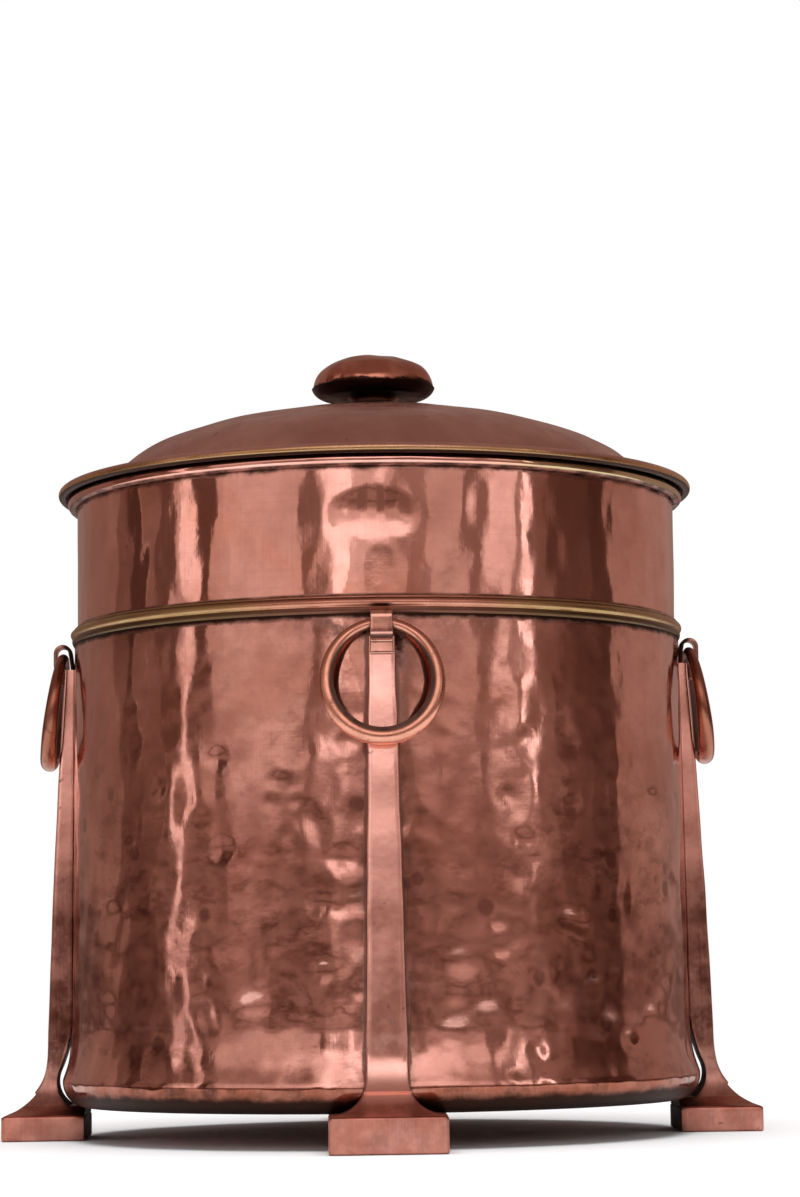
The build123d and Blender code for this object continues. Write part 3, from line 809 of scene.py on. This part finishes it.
# The wall goes on straight above the seam, behind the bead
wall_slope = (SHELL_TOP_RADIUS - SHELL_FLARE_RADIUS) / (SEAM - FLARE_START)
shell_top = (SHELL_TOP_RADIUS + wall_slope * (SHELL_HIGH.z - SEAM), SHELL_HIGH.z)
flare_top = (SHELL_FLARE_RADIUS, FLARE_START)
crease = (SHELL_HIGH.x, CREASE)
lip_edge = (176 * MM, FLOOR_LINE)
lip = arc_through(crease, (192.4 * MM, 26.6 * MM), (184 * MM, FLOOR_LINE), 12)
flare = smooth_path(
    [flare_top, (189.4 * MM, 56 * MM), (191.2 * MM, 46 * MM), crease], 2.0 * MM
)
outer_wall = resample([shell_top, flare_top], 2.2 * MM)
inner_wall = resample([shell_top, flare_top], 7 * MM)
shell_outer = np.vstack([outer_wall[:-1], flare[:-1], lip, [lip_edge]])
inner_line = np.vstack([inner_wall[:-1], flare[::3], lip[::2], [lip_edge]])
shell_outline = np.vstack([shell_outer, offset_line(inner_line, SHEET)[::-1]])[::-1]
shell = lathe("shell_wall", shell_outline, 600, shell_copper, shell_relief)
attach(shell, "bin")
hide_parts("body_shell")


# ------------ neck and bead

neck_relief = Relief(2 * math.pi * NECK_RADIUS, NECK_HIGH.z - NECK_LOW.z, 17, NECK_LOW.z)
neck_relief.ripple(0.14 * MM, 12, (5, 30), (0.1, 0.7))
neck_relief.ripple(0.042 * MM, 14, (30, 80), (0.4, 2.6))
neck_relief.planish(14 * MM, 92 * MM, 26 * MM, 20 * MM, 0.045 * MM)
neck_relief.planish(10 * MM, 92 * MM, 10 * MM, 9 * MM, 0.014 * MM)
# The dents that break up the reflections over the front leg, three quarters of the way round
front = 0.75 * neck_relief.around
neck_relief.dent(front - 2 * MM, 68 * MM, 30 * MM, 0.80 * MM, 0.52)
neck_relief.dent(front - 8 * MM, 66 * MM, 34 * MM, 0.30 * MM, 0.5)
neck_relief.dent(front + 22 * MM, 60 * MM, 18 * MM, 0.22 * MM, 0.6)
neck_relief.dent(front - 52 * MM, 58 * MM, 22 * MM, 0.20 * MM, 0.8)
neck_relief.fade(16 * MM, 9 * MM)

# Up the outer face, round the roll, and down the inner face
curl = (NECK_RADIUS - SHEET + NECK_CURL - CURL_OVERHANG, NECK_HIGH.z - NECK_CURL)
neck_inside = NECK_RADIUS - SHEET
neck_outline = np.vstack(
    [
        resample([(NECK_RADIUS, NECK_LOW.z), (NECK_RADIUS, curl[1] - 2.85 * MM)], 2 * MM)[:-1],
        arc(curl, NECK_CURL, 232.3, 559.2, 34),
        resample([(neck_inside, curl[1] - 1.3 * MM), (neck_inside, NECK_LOW.z)], 6 * MM),
    ]
)
neck = lathe("neck_wall", neck_outline, 560, neck_copper, neck_relief)
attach(neck, "bin")
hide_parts("neck_collar", "neck_rim_wire")

bead_relief = Relief(2 * math.pi * NECK_RADIUS, 12 * MM, 23, SEAM)
bead_relief.ripple(0.07 * MM, 10, (6, 60), (0.1, 0.3))
# A small fillet below, the half round over it, and a quirk on top; the back hugs the shell
back = SHELL_TOP_RADIUS + 0.05 * MM
proud = BEAD_HIGH.x - 0.1 * MM
bead_inside = NECK_RADIUS + 0.05 * MM
bead_outline = np.vstack(
    [
        [(back, SEAM), (back + 0.5 * MM, SEAM)],
        arc_through(
            (back + 0.7 * MM, SEAM + 0.2 * MM),
            (back + 1.4 * MM, SEAM + 2 * MM),
            (back + 0.9 * MM, SEAM + 3.7 * MM),
            7,
        ),
        arc_through(
            (back + 1.0 * MM, SEAM + 4.0 * MM),
            (proud, SEAM + 6.6 * MM),
            (back + 0.3 * MM, SEAM + 8.9 * MM),
            14,
        ),
        arc_through(
            (back + 0.1 * MM, SEAM + 9.1 * MM),
            (back, SEAM + 9.8 * MM),
            (back - 1.0 * MM, BEAD_HIGH.z),
            6,
        ),
        [(bead_inside, BEAD_HIGH.z), (bead_inside, SEAM + 6.1 * MM), (back, SEAM + 6.1 * MM)],
    ]
)
bead = lathe("seam_moulding", bead_outline, 560, bead_copper, bead_relief, sharp=35)
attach(bead, "bin")
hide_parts("seam_bead")


# ------------ lid

LID_SPAN = 420 * MM  # side of the square height map over the lid
LID_MIDDLE = LID_SPAN / 2

lid_relief = Relief(LID_SPAN, LID_SPAN, 31)
lid_relief.ripple(0.18 * MM, 10, (1, 9), (1, 9))
lid_relief.planish(0, LID_SPAN, 17 * MM, 13 * MM, 0.11 * MM)
for _ in range(60):
    across, up = lid_relief.random.uniform(0, LID_SPAN, 2)
    size = lid_relief.random.uniform(2.5, 6) * MM
    lid_relief.dent(across, up, size, lid_relief.random.uniform(-0.25, 0.25) * MM)
# The dome is fuller towards the right and a little sunken on the left
lid_relief.dent(LID_MIDDLE + 150 * MM, LID_MIDDLE, 50 * MM, -3.2 * MM)
lid_relief.dent(LID_MIDDLE + 50 * MM, LID_MIDDLE - 10 * MM, 60 * MM, -0.9 * MM)
lid_relief.dent(LID_MIDDLE - 110 * MM, LID_MIDDLE, 45 * MM, 0.9 * MM)
lid_relief.fade_round(160 * MM, 178 * MM)

STUD_HOLE = 3.1 * MM
CROWN, CROWN_ANGLE = 400 * MM, 19
SHOULDER, SHOULDER_ANGLE = 80 * MM, 55
FILLET = 7 * MM


def heading(angle):
    """The outward normal of an outline that slopes down by this angle."""
    return np.array([math.sin(math.radians(angle)), math.cos(math.radians(angle))])


def dome_line(step):
    """The dome's outer line from the stud hole out to the flange, by three tangent arcs."""
    first = math.degrees(math.asin(STUD_HOLE / CROWN))
    centre = (0, LID_HIGH.z - CROWN)
    crown = arc(centre, CROWN, 90 - first, 90 - CROWN_ANGLE, round(128 * MM / step))
    centre = crown[-1] - SHOULDER * heading(CROWN_ANGLE)
    span = SHOULDER * math.radians(SHOULDER_ANGLE - CROWN_ANGLE)
    count = round(span / step) + 1
    shoulder = arc(centre, SHOULDER, 90 - CROWN_ANGLE, 90 - SHOULDER_ANGLE, count)
    centre = shoulder[-1] + FILLET * heading(SHOULDER_ANGLE)
    fillet = arc(centre, FILLET, 270 - SHOULDER_ANGLE, 270, 7)
    return np.vstack([crown, shoulder[1:], fillet[1:]])


dome = dome_line(2.2 * MM)
flange_top = dome[-1, 1]
roll = (LID_HIGH.x - LID_CURL, flange_top + 0.5 * MM)
lid_outline = np.vstack(
    [
        dome,
        resample([dome[-1], (roll[0] - 2.96 * MM, flange_top)], 2.5 * MM)[1:-1],
        arc(roll, LID_CURL, 189.6, -145.5, 34),
        offset_line(dome_line(6 * MM), SHEET)[::-1],
    ]
)
lid = lathe("lid_sheet", lid_outline[::-1], 480, lid_copper, None, lid_relief)
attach(lid, "lid")
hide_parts("lid_dome", "lid_rim_wire")


# ------------ knob

KNOB_SPAN = 90 * MM  # side of the height map over the knob's crown
CAP_SHEET = 1 * MM
KNOB_RIPPLE = 0.45 * MM

knob_relief = Relief(2 * math.pi * CAP_HIGH.x, 30 * MM, 5, CAP_LOW.z)
knob_relief.ripple(KNOB_RIPPLE, 6, (1, 5), (0.1, 0.5))
knob_relief.planish(0, 30 * MM, 11 * MM, 9 * MM, 0.34 * MM)
knob_bumps = Relief(KNOB_SPAN, KNOB_SPAN, 6)
knob_bumps.ripple(0.25 * MM, 6, (1, 5), (1, 4))
knob_bumps.planish(0, KNOB_SPAN, 11 * MM, 8 * MM, 0.30 * MM)
knob_bumps.fade_round(20 * MM, 38 * MM)
CAP_CROWN, CAP_ANGLE = 66 * MM, 27
crown_edge = CAP_CROWN * math.sin(math.radians(CAP_ANGLE))
cap_side = (CAP_HIGH.x - crown_edge) / (1 - math.sin(math.radians(CAP_ANGLE)))


def cap_line(count):
    """The bun's outer line: a shallow crown and a round side."""
    crown = arc((0, CAP_HIGH.z - CAP_CROWN), CAP_CROWN, 89.9, 90 - CAP_ANGLE, count)
    centre = crown[-1] - cap_side * heading(CAP_ANGLE)
    side = arc(centre, cap_side, 90 - CAP_ANGLE, 0, count)
    return np.vstack([crown, side[1:]])


cap_outline = np.vstack([cap_line(22), offset_line(cap_line(10), CAP_SHEET)[::-1]])
cap_outline = cap_outline[::-1] - (KNOB_RIPPLE, 0)  # drawn in by what the ripple pushes out
cap = lathe("knob_bun", cap_outline, 180, cap_copper, knob_relief, knob_bumps)
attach(cap, "lid")
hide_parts("knob_cap")


# ------------ legs, loops and rings


def between(points, values):
    """Interpolates a line of (height, value) points at these heights."""
    heights, results = np.array(points).T
    order = np.argsort(heights)
    return np.interp(values, heights[order], results[order])


LOW_BLOCK = 14.5 * MM
BLOCKS = {"front": 20 * MM, "right": LOW_BLOCK, "back": 16 * MM, "left": LOW_BLOCK}
EASING = np.linspace(-12, 12, 13) * MM  # the strap's face is averaged over these heights
EASED_FROM = 13 * MM  # above the block
CHAMFER = 0.8 * MM  # worn edge round a block's top
BLOCK_CORNER, STRAP_CORNER, BACK_CORNER = 2.6 * MM, 1.3 * MM, 0.5 * MM
LEG_CROWN, LOOP_CROWN = 0.10 * MM, 0.12 * MM
ROUGH_HEIGHT = 30 * MM  # the casting's unevenness reaches its full size by here

# The strap's lines as (out or half width, up)
strap_face = arc_through(
    (203.5 * MM, 54 * MM), (199.6 * MM, 165 * MM), (193 * MM, LEG_TOP), 96
)
strap_half = arc_through((12.1 * MM, 42 * MM), (9.9 * MM, 165 * MM), (7.7 * MM, LEG_TOP), 60)
# Its back clears the shell's flare and then follows the wall
clearing = (196.6 * MM, 40.5 * MM)
back_low = arc_through(clearing, (197 * MM, 29.5 * MM), (189.5 * MM, 20.2 * MM), 14)
back_high = arc_through((188.65 * MM, 70 * MM), (191.6 * MM, 54 * MM), clearing, 14)
back_line = np.vstack([back_low[::-1], back_high[::-1][1:], [(186.96 * MM, LEG_TOP)]])
FLOOR_EDGE = [(0, 0.9 * MM), (0.35 * MM, 0.4 * MM), (1 * MM, 0), (1, 0)]
BLOCK_EDGE = [(-1, 0), (-1 * MM, 0), (-0.3 * MM, 0.25 * MM), (0, CHAMFER)]


def leg_rings(random, block):
    """The leg's sections from the floor up, as (across, out, up); block is its foot's height."""
    rise = block - LOW_BLOCK
    middle = (212.7 * MM, 25 * MM + 0.5 * rise)
    sweep = arc_through((BLOCK_OUTER, block), middle, strap_face[0], 30)
    face_line = np.vstack([sweep, strap_face[1:]])[:, ::-1]
    middle = (17 * MM, 22.8 * MM + 0.73 * rise)
    flare = arc_through((BLOCK_HALF_WIDTH, block + 0.5 * MM), middle, strap_half[0], 30)
    half_line = np.vstack([flare, strap_half[1:]])[:, ::-1]
    levels = np.unique(
        np.concatenate(
            [
                np.array([0, 0.35, 1.0, 5, 10]) * MM,
                block - np.array([2.0, 1.0, 0.3, 0.0]) * MM,
                sweep[1:, 1],
                np.array([LEDGE, LEDGE + 0.05 * MM]),
                strap_face[1:, 1],
            ]
        )
    )
    wide = waver(random, len(levels), 0.22 * MM, 9)
    thick = waver(random, len(levels), 0.18 * MM, 9)
    rings = []
    for i, up in enumerate(levels):
        in_block = up <= block
        half = between(half_line, up)
        high = between(face_line, up)
        if up > block + EASED_FROM:
            high = between(face_line, up + EASING).mean()
        low = BLOCK_INNER if up <= LEDGE else between(back_line[:, ::-1], up)
        inset = between(FLOOR_EDGE, up)
        if in_block:
            half, high = BLOCK_HALF_WIDTH, BLOCK_OUTER
            inset += between(BLOCK_EDGE, up - block)
        half -= inset
        ease = min(1.0, up / ROUGH_HEIGHT)
        half += ease * wide[i] - (0 if in_block else 0.15 * MM)
        high += ease * thick[i] - 0.1 * MM
        corner = BLOCK_CORNER if in_block else STRAP_CORNER
        section = bar_section(low + inset, high - inset, half, corner, BACK_CORNER, LEG_CROWN)
        rings.append(np.column_stack([section, np.full(len(section), up)]))
    return np.array(rings)


# The loop's middle line as (out, up) in millimetres: it rises behind the ring, bends over it,
# comes down outside it, and turns in to end as a tab on the strap
BEND = [(189.65, 296.8), (194.35, 301.2), (199.0, 296.8)]
RISE = [(188.4, LEG_TOP / MM), (188.45, 288.2), (189.0, 292.5), BEND[0]]
FALL = [
    BEND[2],
    (199.0, 293.0),
    (199.0, 289.0),
    (198.5, 287.2),
    (196.9, 285.6),
    (195.2, 284.6),
    (194.4, 283.2),
    (194.45, 281.0),
    (194.8, 276.1),
]
LOOP_HALF_WIDTH, LOOP_WIDENING = 6.05 * MM, 0.6 * MM  # at the leg's top, and gained by the tab
LOOP_HALF_SHEET = 1.0 * MM
LOOP_END = 0.35 * MM  # rounding of the strip's cut ends


def loop_rings(random):
    """The loop's sections along its line, as (across, out, up)."""
    bend = arc_through(*np.array(BEND) * MM, 20)
    rise = smooth_path(np.array(RISE) * MM, 1.2 * MM)
    fall = smooth_path(np.array(FALL) * MM, 0.7 * MM)
    line = np.vstack([rise[:-1], bend, fall[1:]])
    normals = offset_line(line, -1.0) - line
    count = len(line)
    wobble = waver(random, count, 0.12 * MM, 4)
    steps = np.hypot(*np.diff(line, axis=0).T)
    along = np.concatenate([[0], np.cumsum(steps)]) / steps.sum()
    rings = []
    for i in range(count):
        half = LOOP_HALF_WIDTH + LOOP_WIDENING * along[i] + wobble[i]
        end = LOOP_END if i in (0, count - 1) else 0.0
        thick = LOOP_HALF_SHEET - end
        section = bar_section(-thick, thick, half - end, 0.7 * MM, 0.3 * MM, LOOP_CROWN)
        out, up = (line[i] + section[:, 1:] * normals[i]).T
        rings.append(np.column_stack([section[:, 0], out, up]))
    return np.array(rings)


THIN_WIRE, THICK_WIRE = 3.0 * MM, 5.2 * MM  # radii of the ring's wire, at its top and bottom
RING_SLACK = 0.05 * MM  # keeps the wire clear of its loop


def ring_rings(random):
    """The ring's round sections, thin where it hangs and thick at the bottom."""
    around = 128
    wobble = waver(random, around + 1, 0.16 * MM, 6)[:-1]
    shift = waver(random, around + 1, 0.22 * MM, 3)[:-1]
    section = np.linspace(0, 2 * math.pi, 26, endpoint=False)
    rings = []
    for i in range(around):
        turn = 2 * math.pi * i / around
        away = math.sin(turn / 2) ** 2
        wire = THIN_WIRE + away * (THICK_WIRE - THIN_WIRE + wobble[i]) - RING_SLACK
        spoke = away * shift[i] + wire * np.cos(section)
        across = (RING_HALF_WIDTH + spoke) * math.sin(turn)
        down = RING_HALF_DROP - (RING_HALF_DROP + spoke) * math.cos(turn)
        off = wire * np.sin(section)
        out = PIVOT_RADIUS + down * math.sin(RING_LEAN) + off * math.cos(RING_LEAN)
        up = PIVOT_HEIGHT - down * math.cos(RING_LEAN) + off * math.sin(RING_LEAN)
        rings.append(np.column_stack([across, out, up]))
    return np.array(rings)


for seed, (side, angle) in enumerate(SIDES.items(), start=100):
    random = np.random.default_rng(seed)
    for kind, rings, finish, body, node in (
        ("leg", leg_rings(random, BLOCKS[side]), leg_copper, "bin", f"leg_{side}"),
        ("loop", loop_rings(random), loop_copper, "bin", f"ring_loop_{side}"),
        ("ring", ring_rings(random), ring_copper, f"ring_{side}", f"ring_handle_{side}"),
    ):
        placed = on_side(angle, rings[..., 0], rings[..., 1], rings[..., 2])
        piece = loft(f"{kind}_{side}_bar", placed, finish, kind != "ring")
        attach(piece, body)
        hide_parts(node)


# ------------ nodes that keep their CAD shape

finishes = {
    "bottom_plate": inner_copper,
    "lid_skirt": wire_copper,
    "knob_stem": stem_copper,
    # the pan is painted near black: its old oxide and the shade under the knob
    "knob_pan": pan_patina_and_shade,
    "knob_washer": stem_copper,
    "knob_stud": stem_copper,
}
for side in SIDES:
    finishes[f"leg_rivets_{side}"] = inner_copper
for node, finish in finishes.items():
    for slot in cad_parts[node].material_slots:
        slot.material = finish


# ------------ studio

# Soft boxes and dark flags round the bin: bearing in degrees (0 is the front, positive to the
# right), half width, and brightness; a later one stands in front of those before it
BOARDS = (
    (-140, 24, 0.31),
    (-111, 5, 0.20),
    (-102.5, 4, 0.08),
    (-93, 5, 0.24),
    (-86, 4, 0.14),
    (-69, 4.5, 0.13),
    (-42, 16, 0.70),
    (-23.5, 2.5, 0.24),
    (-15, 3.4, 1.50),
    (-6, 5, 0.82),
    (11.5, 3, 0.36),
    (39, 3.2, 0.27),
    (47.5, 3.4, 0.95),
    (53.5, 2.5, 0.40),
    (57.5, 2.2, 1.80),
    (66, 6.5, 0.25),
    (86, 15, 0.12),
    (94, 7, 0.085),
    (135, 34, 0.37),
)
ROOM = 0.62  # between the boards
# What stands near the horizon, lower and duller
LOW_BOARDS = (
    (-140, 30, 0.27),
    (-101, 12, 0.17),
    (-84, 4, 0.22),
    (-67, 3, 0.31),
    (-52, 10, 0.47),
    (-28, 7, 0.30),
    (-16, 4, 0.43),
    (10, 4, 0.26),
    (70, 8, 0.26),
    (84, 9, 0.17),
    (95, 5.5, 0.13),
)
LOW_ROOM = 0.35
WINDOW = (-76.5, 2.3, 1.1)  # reaches down past the low boards
BEHIND = 0.30
CEILING = 0.30
SOFTBOX = 1.5  # over the camera

world = bpy.data.worlds.new("studio")
bpy.context.scene.world = world
world.use_nodes = True
g = Graph(world.node_tree)
direction = g.node("ShaderNodeTexCoord").outputs["Generated"]
x, y, z = axes(g, direction)
bearing = g.math("ARCTAN2", x, g.times(y, -1.0))
bearing = g.times(bearing, 180 / math.pi)


def hang(board, level):
    """The brightness once one board stands in front of what was there."""
    centre, half, bright = board
    gap = g.math("ABSOLUTE", g.math("SUBTRACT", bearing, float(centre)))
    inside = g.step(gap, half + 0.5, half - 0.5)
    return g.math("MULTIPLY_ADD", inside, g.math("SUBTRACT", bright, level), level)


def cover(level, bright, share):
    return g.math("MULTIPLY_ADD", share, g.math("SUBTRACT", bright, level), level)


level = ROOM
for board in BOARDS:
    level = hang(board, level)
low_level = LOW_ROOM
for board in LOW_BOARDS:
    low_level = hang(board, low_level)
# The low boards darken to a line at the horizon, and the tall ones take over above them
horizon = g.step(g.math("ABSOLUTE", z), 0.004, 0.028, 0.55, 1.06)
level = cover(level, g.times(low_level, horizon), g.step(z, 0.112, 0.050))
# Straight ahead stands the dark camera, with light over it
sideways = g.math("ABSOLUTE", bearing)
level = cover(level, g.step(z, 0.075, 0.185, 0.24, 1.15), g.step(sideways, 5.0, 3.0))
level = hang(WINDOW, level)
level = cover(level, BEHIND, g.step(sideways, 150.0, 165.0))
level = cover(level, CEILING, g.step(z, 0.30, 0.60))
box = g.band(z, 0.19, 0.26, 0.56, 0.66)
level = cover(level, SOFTBOX, g.times(box, g.step(sideways, 46.0, 12.0)))

# Mirrored light is warm and warmer still where it is dim; diffuse light is neutral; the camera
# sees plain white
warm = g.node("ShaderNodeCombineColor")
g.feed(warm.inputs[0], level)
g.feed(warm.inputs[1], g.times(g.math("POWER", level, 1.19), 0.82))
g.feed(warm.inputs[2], g.times(g.math("POWER", level, 1.29), 0.78))
plain = g.node("ShaderNodeCombineColor")
for channel in plain.inputs:
    g.feed(channel, level)
path = g.node("ShaderNodeLightPath").outputs
shade = g.mix(path["Is Diffuse Ray"], warm.outputs[0], plain.outputs[0])
shade = g.mix(path["Is Camera Ray"], shade, rgb(1.0, 1.0, 1.0))
sky = g.node("ShaderNodeBackground")
g.feed(sky.inputs["Color"], shade)
g.feed(sky.inputs["Strength"], 1.0)
g.tree.links.new(sky.outputs[0], g.node("ShaderNodeOutputWorld").inputs[0])

# A wide overhead light for the floor and its shadows; polished metal doesn't mirror it
top_light = bpy.data.lights.new("overhead", "AREA")
top_light.shape = "DISK"
top_light.size = 2.6
top_light.energy = 95.0
overhead = bpy.data.objects.new("overhead", top_light)
overhead.location = (0.0, -0.2, 2.4)
overhead.visible_camera = False
overhead.visible_glossy = False
bpy.context.scene.collection.objects.link(overhead)

floor_material = bpy.data.materials.new("floor_white")
floor_material.use_nodes = True
floor_shader = floor_material.node_tree.nodes["Principled BSDF"]
floor_shader.inputs["Base Color"].default_value = rgb(0.86, 0.86, 0.87)
floor_shader.inputs["Roughness"].default_value = 0.8
FLOOR_RADIUS = 0.95
FLOOR_DROP = 0.2 * MM  # keeps the floor's face apart from the feet's
rim = FLOOR_RADIUS * arc((0, 0), 1.0, 0, 360, 129)[:-1]
rim = np.column_stack([rim, np.full(len(rim), -FLOOR_DROP)])
floor_mesh = bpy.data.meshes.new("floor")
floor_mesh.from_pydata(rim.tolist(), [], [list(range(len(rim)))])
floor_mesh.materials.append(floor_material)
floor = bpy.data.objects.new("floor", floor_mesh)
bpy.context.scene.collection.objects.link(floor)


# ------------ camera

lens = bpy.data.cameras.new("camera")
lens.sensor_fit = "VERTICAL"
lens.sensor_height = 36.0
lens.lens = 97.7
camera = bpy.data.objects.new("camera", lens)
STAND = Vector((-0.030, -2.011, 0.100))
PITCH, YAW, ROLL = 0.1135, -0.0224, -0.0136  # radians; the camera looks up a little
facing = Matrix.Rotation(YAW, 4, "Z") @ Matrix.Rotation(math.pi / 2 + PITCH, 4, "X")
camera.matrix_world = Matrix.Translation(STAND) @ facing @ Matrix.Rotation(ROLL, 4, "Z")
bpy.context.scene.collection.objects.link(camera)
bpy.context.scene.camera = camera
bpy.context.scene.view_settings.view_transform = "Standard"
